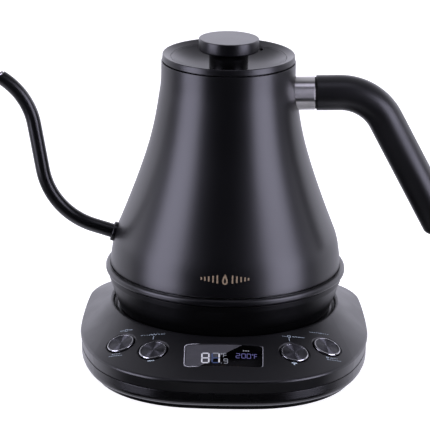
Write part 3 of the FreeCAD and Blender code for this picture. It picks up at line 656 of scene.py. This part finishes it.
# %% [markdown]
# ## Inks, lit segments and trim
# The marks are pad printed, so their cover is a little patchy. A lit segment is light behind a mask: it has
# a glow of its own, which is why it reads the same from every side. The thin trim round the window is dark
# paint, with a painted highlight on its left end and a weaker one on part of its right.

# %% Finishes of the thin pieces
def speckled_roughness(tree, shader, middle, swing, speckle):
    """Roughness that follows the grain."""
    vary_roughness(tree, shader, middle, swing, maths(tree, "SUBTRACT", speckle, 0.5))


def ink(name, colour, middle=0.5):
    """Printed ink: slightly uneven cover, with the grain of a pad print."""
    material, tree, shader = new_finish(name, colour, middle)
    grain = place(tree, GRAIN, Size_mm=0.25, Softness=0.6)
    patchy = blend(tree, maths(tree, "MULTIPLY", grain["Speckle"], 0.45), colour, scaled(colour, 0.72))
    tree.links.new(patchy, shader.inputs["Base Color"])
    speckled_roughness(tree, shader, middle, 0.08, grain["Speckle"])
    bump(tree, shader, grain["Height"], 0.004)
    return material


def lit_segment(name, colour, glow):
    """A display segment: its light is uneven by a fifth or so, as it is behind a diffusing film."""
    material, tree, shader = new_finish(name, (0.01, 0.01, 0.012), 0.35, Emission_Strength=glow)
    grain = place(tree, GRAIN, Size_mm=0.6, Softness=0.4)
    cells = blend(tree, grain["Speckle"], scaled(colour, 0.82), colour)
    tree.links.new(cells, shader.inputs["Emission Color"])
    speckled_roughness(tree, shader, 0.35, 0.05, grain["Speckle"])
    bump(tree, shader, grain["Height"], 0.002)
    return material


# The trim's bright left end and weaker right end are a painted highlight, placed by these spans along x.
TRIM_DARK, TRIM_HIGHLIGHT = (0.012, 0.012, 0.013), (0.62, 0.62, 0.63)
LEFT_END = (window_low.x + 9.3 * MM, window_low.x + 5.8 * MM)
RIGHT_END = (window_high.x - 0.5 * MM, window_high.x + 0.2 * MM)
RIGHT_SHARE = 0.55


def trim_finish():
    """Grey trim round the window, with a painted highlight on its left side and a weaker one on its right.
    """
    material, tree, shader = new_finish("window_trim", (0.02, 0.02, 0.021), 0.35)
    x = node(tree, "ShaderNodeSeparateXYZ", {"Vector": spot_on_part(tree)}).outputs["X"]
    left, right = ramp(tree, x, *LEFT_END), ramp(tree, x, *RIGHT_END, 0.0, RIGHT_SHARE)
    grain = place(tree, GRAIN, Size_mm=0.5, Softness=0.5)
    # Painted highlight: bright at the left end, weaker at the right, broken up by the grain.
    brightened = maths(tree, "MULTIPLY", maths(tree, "MAXIMUM", left, right),
                   ramp(tree, grain["Speckle"], 0.0, 1.0, 0.75, 1.0))
    tree.links.new(blend(tree, brightened, TRIM_DARK, TRIM_HIGHLIGHT), shader.inputs["Base Color"])
    speckled_roughness(tree, shader, 0.35, 0.06, grain["Speckle"])
    bump(tree, shader, grain["Height"], 0.003)
    return material


# %% [markdown]
# ## Give each part its finish
# The record says which finish each part has, so one table of finishes and one loop dress them all. The
# keys and the collar are the exceptions: each of them is turned, so its finish needs to know its axis.

# %% Dress the parts
PLASTICS = {
    "grip_plastic": dict(colour=(0.0022, 0.0022, 0.0025), middle=0.40),
    "satin_black_plastic": dict(colour=(0.0012, 0.0012, 0.0013), middle=0.34, shine=0.16),
    "gloss_black_plastic": dict(colour=(0.0008, 0.0008, 0.0009), middle=0.27, grain_mm=0.8,
                                depth_mm=0.001, swing=0.02),
    "rubber_black": dict(colour=(0.012, 0.012, 0.012), middle=0.75, grain_mm=0.6, depth_mm=0.02, swing=0.06),
    "silicone": dict(colour=(0.42, 0.42, 0.41), middle=0.45, grain_mm=0.5, swing=0.05),
    "board_green": dict(colour=(0.015, 0.13, 0.05), middle=0.30, grain_mm=0.8, depth_mm=0.008, swing=0.06),
    "part_black": dict(colour=(0.015, 0.015, 0.016), middle=0.5, grain_mm=0.5, depth_mm=0.01),
    "part_blue": dict(colour=(0.02, 0.06, 0.26), middle=0.32, grain_mm=0.6, depth_mm=0.004),
    "nylon_white": dict(colour=(0.60, 0.58, 0.53), middle=0.5, grain_mm=0.5, depth_mm=0.008),
}
METALS = {
    "polished_steel": dict(colour=(0.66, 0.65, 0.63), middle=0.10, swing=0.03, depth_mm=0.0008),
    "brushed_steel": dict(colour=(0.50, 0.50, 0.50), middle=0.32, streak=(1, 1, 14)),
    "button_bevel": dict(colour=(0.42, 0.42, 0.43), middle=0.20),
    "brass": dict(colour=(0.72, 0.50, 0.22), middle=0.24),
    "aluminium": dict(colour=(0.60, 0.60, 0.61), middle=0.48, swing=0.08, marks_mm=2.4, depth_mm=0.01),
    "screw_steel": dict(colour=(0.46, 0.46, 0.47), middle=0.34, swing=0.08),
}
FINISHES = {"black_paint": powder_coat(), "base_plastic": base_moulding(), "window_gloss": display_glass()}
FINISHES.update({name: moulded(name, **row) for name, row in PLASTICS.items()})
FINISHES.update({name: worked_metal(name, **row) for name, row in METALS.items()})


def dress(part, material):
    """Puts one finish on a part, in place of what it came with."""
    NODES[part].data.materials.clear()
    NODES[part].data.materials.append(material)


for row in RECORD["subparts"]:
    if row["material_slot"] == "button_metal":
        dress(row["node"], turned_key("turned_" + row["node"], row["node"]))
    elif row["node"] == "handle_collar":
        dress(row["node"], turned_collar())
    else:
        dress(row["node"], FINISHES[row["material_slot"]])
print("parts dressed:", len(RECORD["subparts"]))

# %% [markdown]
# ## Strokes that follow a surface
# The printed marks, the lit digits and the motif on the bell are all strokes of even width. A stroke is
# planned flat, in millimetres, as a line of points. It is then cut into short steps, and each step's left
# and right edge is dropped on the curved surface, so that the stroke follows it. A picture pasted on
# would be simpler, but it would have no edge of its own and would blur when looked at closely.


# %% Drop points on a surface
def surface_of(part):
    """A part's skin, ready to be met by straight lines."""
    mesh = NODES[part].data
    return BVHTree.FromPolygons([v.co for v in mesh.vertices], [p.vertices[:] for p in mesh.polygons])


PANEL = surface_of("base_top_shell")
GLASS = surface_of("display_window")
BELL = surface_of("body_shell")
START_ABOVE, START_BEFORE = 0.2, -0.3


def on_top(skin, centre, turn):
    """Lays flat (right, up) millimetres on a skin seen from above, turned about a centre."""
    swing = Matrix.Rotation(math.radians(turn), 2)

    def touch(flat):
        x, y = Vector(centre) * MM + swing @ flat * MM
        return skin.ray_cast(Vector((x, y, START_ABOVE)), Vector((0, 0, -1)))[:2]
    return touch


def on_front(skin, height):
    """Lays flat (right, up) millimetres on a skin seen from the front, round a height in metres."""
    def touch(flat):
        start = Vector((flat.x * MM, START_BEFORE, height + flat.y * MM))
        return skin.ray_cast(start, Vector((0, 1, 0)))[:2]
    return touch


# %% Helpers for building a mesh
def bridge(bm, rings):
    """Fills the skin between rings of points that follow each other."""
    for a, b in zip(rings, rings[1:]):
        for i in range(len(a)):
            j = (i + 1) % len(a)
            bm.faces.new((a[i], b[i], b[j], a[j]))


def piece_from(bm, name, material):
    """Turns a finished skin into one object in the scene."""
    bmesh.ops.recalc_face_normals(bm, faces=bm.faces)
    mesh = bpy.data.meshes.new(name)
    bm.to_mesh(mesh)
    bm.free()
    mesh.materials.append(material)
    piece = bpy.data.objects.new(name, mesh)
    bpy.context.scene.collection.objects.link(piece)
    return piece


# %% Make a piece out of strokes
STEP = 0.5
PROUD, SUNK = 0.05, 0.04
SAME_SPOT = 1e-6


def even_steps(stroke):
    """A line of points again, with no step longer than STEP."""
    points = [Vector(stroke[0])]
    for a, b in zip(stroke, stroke[1:]):
        a, b = Vector(a), Vector(b)
        count = max(1, math.ceil((b - a).length / STEP))
        points += [a.lerp(b, i / count) for i in range(1, count + 1)]
    return points


def stroke_rows(points, width, touch):
    """For each point: the stroke's two upper corners on the surface, and the two just below it."""
    closed = (points[0] - points[-1]).length < SAME_SPOT
    before_first, after_last = (points[-2], points[1]) if closed else (points[0], points[-1])
    rows = []
    for before, point, after in zip([before_first] + points, points, points[1:] + [after_last]):
        along = (after - before).normalized()
        side = Vector((-along.y, along.x)) * width / 2
        (left, left_out), (right, right_out) = touch(point + side), touch(point - side)
        rows.append((left + left_out * PROUD * MM, right + right_out * PROUD * MM,
                     right - right_out * SUNK * MM, left - left_out * SUNK * MM))
    return rows


def laid_strokes(name, strokes, width, touch, body, material):
    """One piece from many strokes, riding a body."""
    bm = bmesh.new()
    for stroke in strokes:
        rows = [[bm.verts.new(corner) for corner in row]
                for row in stroke_rows(even_steps(stroke), width, touch)]
        bridge(bm, rows)
        bm.faces.new(rows[0])
        bm.faces.new(reversed(rows[-1]))
    piece = piece_from(bm, name, material)
    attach(piece, body)


def ring_stroke(x, y, radius, steps=16):
    """A round stroke."""
    turns = [2 * math.pi * i / steps for i in range(steps + 1)]
    return [(x + radius * math.cos(t), y + radius * math.sin(t)) for t in turns]


def dashes(x_from, x_to, y, dash, gap):
    """A row of short level strokes."""
    count = int((x_to - x_from + gap) / (dash + gap))
    return [[(x_from + i * (dash + gap), y), (x_from + i * (dash + gap) + dash, y)] for i in range(count)]


# %% [markdown]
# ## Marks round the keys
# Each key has a small picture above it, and below it a sign or rows of dashes that stand for small print.
# Pictures read the same in every language. They are turned a little so that they follow the curve of
# the row of keys. All points are millimetres right of and up from the middle of the key.

# %% Print the key marks
PALE_INK = ink("pale_ink", (0.34, 0.40, 0.43))
BRIGHT_INK = ink("bright_ink", (0.55, 0.65, 0.68))
MARK_WIDTH, SIGN_WIDTH = 0.48, 0.95

KEY_TURN = {"hold": -14, "minus": -9, "plus": 11, "start": 16}
WAVE = [(-5.4, 14.4), (-4.4, 15.7), (-3.4, 14.4), (-2.4, 15.7), (-1.4, 14.4), (-0.4, 15.7)]
PLAY = [(-3.4, -10.5), (-3.4, -12.1), (-2.0, -11.3), (-3.4, -10.5)]
KEY_PICTURES = {
    "hold": [[(-4.2, 12.4), (-1.9, 12.4)], ring_stroke(-0.3, 12.4, 0.95), [(1.3, 12.4), (3.6, 12.4)]]
            + dashes(-2.6, 3.6, -10.9, 0.9, 0.45) + dashes(-4.2, 5.0, -12.7, 1.1, 0.35),
    "minus": dashes(-10.6, -6.0, 15.0, 0.5, 0.5) + [WAVE] + dashes(0.4, 5.2, 15.0, 1.1, 0.4)
             + [[(-2.2, 13.4), (-2.2, 10.4)]],
    "plus": dashes(-4.4, -1.8, 15.0, 0.6, 0.4)
            + [ring_stroke(-0.2, 15.0, 0.95), [(1.8, 15.0), (9.4, 15.0)], [(-0.6, 13.4), (-0.6, 10.4)]],
    "start": dashes(-7.2, 6.0, 12.6, 1.0, 0.4) + [PLAY] + dashes(-1.2, 4.2, -11.3, 0.9, 0.4)
             + dashes(-3.8, 5.2, -13.2, 1.2, 0.35),
}
KEY_SIGNS = {
    "minus": [[(-3.1, -10.3), (0.9, -10.3)]],
    "plus": [[(-1.7, -10.4), (1.7, -10.4)], [(0, -12.4), (0, -8.4)]],
}


def round_key(key, turn):
    """Lays marks on the panel round one key."""
    middle = centre_of(key + "_button_ring") / MM
    return on_top(PANEL, middle.xy, turn)


for key, picture in KEY_PICTURES.items():
    touch = round_key(key, KEY_TURN[key])
    laid_strokes(key + "_marks", picture, MARK_WIDTH, touch, "base", PALE_INK)
for key, sign in KEY_SIGNS.items():
    laid_strokes(key + "_sign", sign, SIGN_WIDTH, round_key(key, 0), "base", BRIGHT_INK)
print("key marks laid:", len(KEY_PICTURES), "pictures and", len(KEY_SIGNS), "signs")

# %% [markdown]
# ## The lit display
# The window shows how hot the water is in large figures and how hot it should get in small ones. Every
# figure is built of the same seven segments, lettered a to g from the top round to the middle.

# %% Seven-segment figures
SEGMENT_ENDS = {"a": ((0, 2), (1, 2)), "b": ((1, 2), (1, 1)), "c": ((1, 1), (1, 0)), "d": ((0, 0), (1, 0)),
                "e": ((0, 1), (0, 0)), "f": ((0, 2), (0, 1)), "g": ((0, 1), (1, 1))}
LIT = {"0": "abcdef", "2": "abged", "8": "abcdefg", "9": "abcdfg", "F": "aefg"}


def segments(letters, x, y, width, height, gap=0.1):
    """The named segments of one figure whose lower left corner is at x, y."""
    strokes = []
    for letter in letters:
        (ax, ay), (bx, by) = [Vector((x + u * width, y + v * height / 2)) for u, v in SEGMENT_ENDS[letter]]
        pull = (Vector((bx, by)) - Vector((ax, ay))).normalized() * gap
        strokes.append([(ax + pull.x, ay + pull.y), (bx - pull.x, by - pull.y)])
    return strokes


# %% [markdown]
# ## What the display says
# The big figures show 87: the second one, a 7, has a softer top bar, and its other four segments are dark
# but for a faint blue. The small ones show the unit, the tenths and, in violet, the chosen 200 degrees.
# All points are millimetres right of and up from the middle of the window.

# %% Light the display
WHITE_LIGHT = lit_segment("white_light", (0.86, 0.86, 1.0), 0.80)
VIOLET_LIGHT = lit_segment("violet_light", (0.32, 0.30, 0.80), 0.42)
DIM_LIGHT = lit_segment("dim_light", (0.10, 0.16, 0.42), 0.42)
SOFT_LIGHT = lit_segment("soft_light", (0.50, 0.52, 0.62), 0.55)

on_glass = on_top(GLASS, window.xy / MM, 0)
FIRST_BIG = {"x": -13.1, "y": -6.4, "width": 4.2, "height": 8.4, "gap": 0.35}
SECOND_BIG = {**FIRST_BIG, "x": -6.9}
UNIT = {"y": -1.4, "width": 1.8, "height": 3.4}
TENTHS = {"y": -6.8, "width": 2.2, "height": 3.9}
TARGET = {"y": -1.8, "width": 2.2, "height": 3.9}
TARGET_UNIT = {**TARGET, "width": 1.6}
DEGREE = {"y": 1.6, "radius": 0.35, "steps": 8}
POINT = [(-1.6, -6.7), (-1.1, -6.7)]

LIT_PIECES = [
    ("large_figures", segments(LIT["8"], **FIRST_BIG) + segments("bc", **SECOND_BIG), 0.86, WHITE_LIGHT),
    ("large_figure_top", segments("a", **SECOND_BIG), 0.86, SOFT_LIGHT),
    ("large_figure_unlit", segments("defg", **SECOND_BIG), 0.8, DIM_LIGHT),
    ("unit_and_tenths", segments(LIT["F"], -0.1, **UNIT) + [ring_stroke(-1.2, **DEGREE)]
     + segments(LIT["9"], 0.2, **TENTHS) + [POINT], 0.42, SOFT_LIGHT),
    ("target_figures", segments(LIT["2"], 7.5, **TARGET) + segments(LIT["0"], 10.9, **TARGET)
     + segments(LIT["0"], 14.1, **TARGET) + [ring_stroke(17.5, **DEGREE)]
     + segments(LIT["F"], 18.5, **TARGET_UNIT), 0.36, VIOLET_LIGHT),
    ("target_mark", dashes(11.6, 15.4, 4.8, 0.9, 0.5), 0.8, SOFT_LIGHT),
]
for name, strokes, width, light in LIT_PIECES:
    laid_strokes(name, strokes, width, on_glass, "base", light)
print("lit pieces:", [row[0] for row in LIT_PIECES])

# %% [markdown]
# ## Trim
# The window lies in a thin painted frame. It is one closed stroke round the pane's own box, so it would
# follow if the pane changed.

# %% Trim round the window
TRIM_MARGIN = 0.42
TRIM_CORNER = 2.6
TRIM_WIDTH = 0.45
CORNER_STEPS = 6


def rounded_frame(low, high, corner):
    """A closed stroke round a rectangle with round corners, in millimetres."""
    points = []
    for cx, cy, start in ((high.x - corner, high.y - corner, 0), (low.x + corner, high.y - corner, 90),
                          (low.x + corner, low.y + corner, 180), (high.x - corner, low.y + corner, 270)):
        for i in range(CORNER_STEPS + 1):
            t = math.radians(start + 90 * i / CORNER_STEPS)
            points.append((cx + corner * math.cos(t), cy + corner * math.sin(t)))
    return points + points[:1]


margin = Vector((TRIM_MARGIN, TRIM_MARGIN))
frame_stroke = rounded_frame(window_low.xy / MM - margin, window_high.xy / MM + margin, TRIM_CORNER)
laid_strokes("window_trim", [frame_stroke], TRIM_WIDTH, on_top(PANEL, (0, 0), 0), "base", trim_finish())
print("trim laid round a window of, mm:", [round(v / MM, 1) for v in (window_high - window_low).xy])

# %% [markdown]
# ## A motif on the bell
# The front of the bell carries a plain bronze mark: a drop of water between bars that shorten outwards.
# It is printed, so it is laid as strokes too, dropped on the bell from in front.

# %% Lay the drop and its bars
MOTIF_HEIGHT = bead.z + 14.4 * MM
MOTIF_WIDTH = 0.95
DROP_WIDE, DROP_TALL = 3.6, 5.4
DROP_STEPS = 24
DROP_POINT = 1.6
BARS = [(4.6, 2.5), (7.2, 2.0), (9.8, 1.6), (12.2, 1.2), (14.3, 0.8)]


def drop_stroke():
    """A drop: a round belly that draws in to a point at the top."""
    points = []
    for i in range(DROP_STEPS + 1):
        t = 2 * math.pi * i / DROP_STEPS
        draw_in = math.sin(t / 2) ** DROP_POINT
        points.append((DROP_WIDE / 2 * math.sin(t) * draw_in, DROP_TALL / 2 * math.cos(t)))
    return points


bars = [[(side * x, -half), (side * x, half)] for x, half in BARS for side in (-1, 1)]
BRONZE_INK = ink("bronze_ink", (0.21, 0.155, 0.098), 0.42)
laid_strokes("drop_motif", [drop_stroke()] + bars, MOTIF_WIDTH, on_front(BELL, MOTIF_HEIGHT), "kettle",
             BRONZE_INK)
print("motif of one drop and", len(bars), "bars")

# %% [markdown]
# ## The spout's bare lip
# Powder coat doesn't hold on the sharp rim of the spout, so the rim is left as bare steel. A thin round
# bead is laid along the slanted cut, on the middle of the tube's wall. Its place is read off the tube:
# the cut is where the tube reaches furthest along the cut's own direction.

# %% Find the spout's rim
MOUTH_FALL = math.radians(17)
RIM_DEPTH = 0.02
FACING = Vector((-math.sin(MOUTH_FALL), 0, math.cos(MOUTH_FALL)))
ACROSS = Vector((0, 1, 0))
FORE = FACING.cross(ACROSS).normalized()


def spout_rim():
    """The middle of the slanted cut, and half its length and width."""
    points = [v.co for v in NODES["spout_tube"].data.vertices]
    reach = max(p.dot(FACING) for p in points)
    rim = [p for p in points if p.dot(FACING) > reach - RIM_DEPTH * MM]
    middle = sum(rim, Vector()) / len(rim)
    lengths = [(p - middle).dot(FORE) for p in rim]
    half_fore = (max(lengths) - min(lengths)) / 2
    half_across = max(abs((p - middle).dot(ACROSS)) for p in rim)
    return middle + FORE * (max(lengths) + min(lengths)) / 2, half_fore, half_across


# %% Bead the rim
LIP_R = 0.42
LIP_INSET, LIP_SUNK = 0.45, 0.25
LIP_SIDES, LIP_TURNS = 10, 64


def spout_lip():
    """A ring of bare steel round the slanted mouth of the spout."""
    middle, half_fore, half_across = spout_rim()
    long_r, short_r = half_fore - LIP_INSET * MM, half_across - LIP_INSET * MM
    bm = bmesh.new()
    rings = []
    for i in range(LIP_TURNS):
        t = 2 * math.pi * i / LIP_TURNS
        outward = (FORE * math.cos(t) + ACROSS * math.sin(t)).normalized()
        spot = middle + FORE * long_r * math.cos(t) + ACROSS * short_r * math.sin(t) - FACING * LIP_SUNK * MM
        angles = [2 * math.pi * j / LIP_SIDES for j in range(LIP_SIDES)]
        rings.append([bm.verts.new(spot + (outward * math.cos(u) + FACING * math.sin(u)) * LIP_R * MM)
                      for u in angles])
    bridge(bm, rings + rings[:1])
    lip = piece_from(bm, "spout_lip", FINISHES["polished_steel"])
    for face in lip.data.polygons:
        face.use_smooth = True
    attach(lip, "kettle")
    print("lip, mm across:", round(2 * half_fore / MM, 2), round(2 * half_across / MM, 2))


spout_lip()
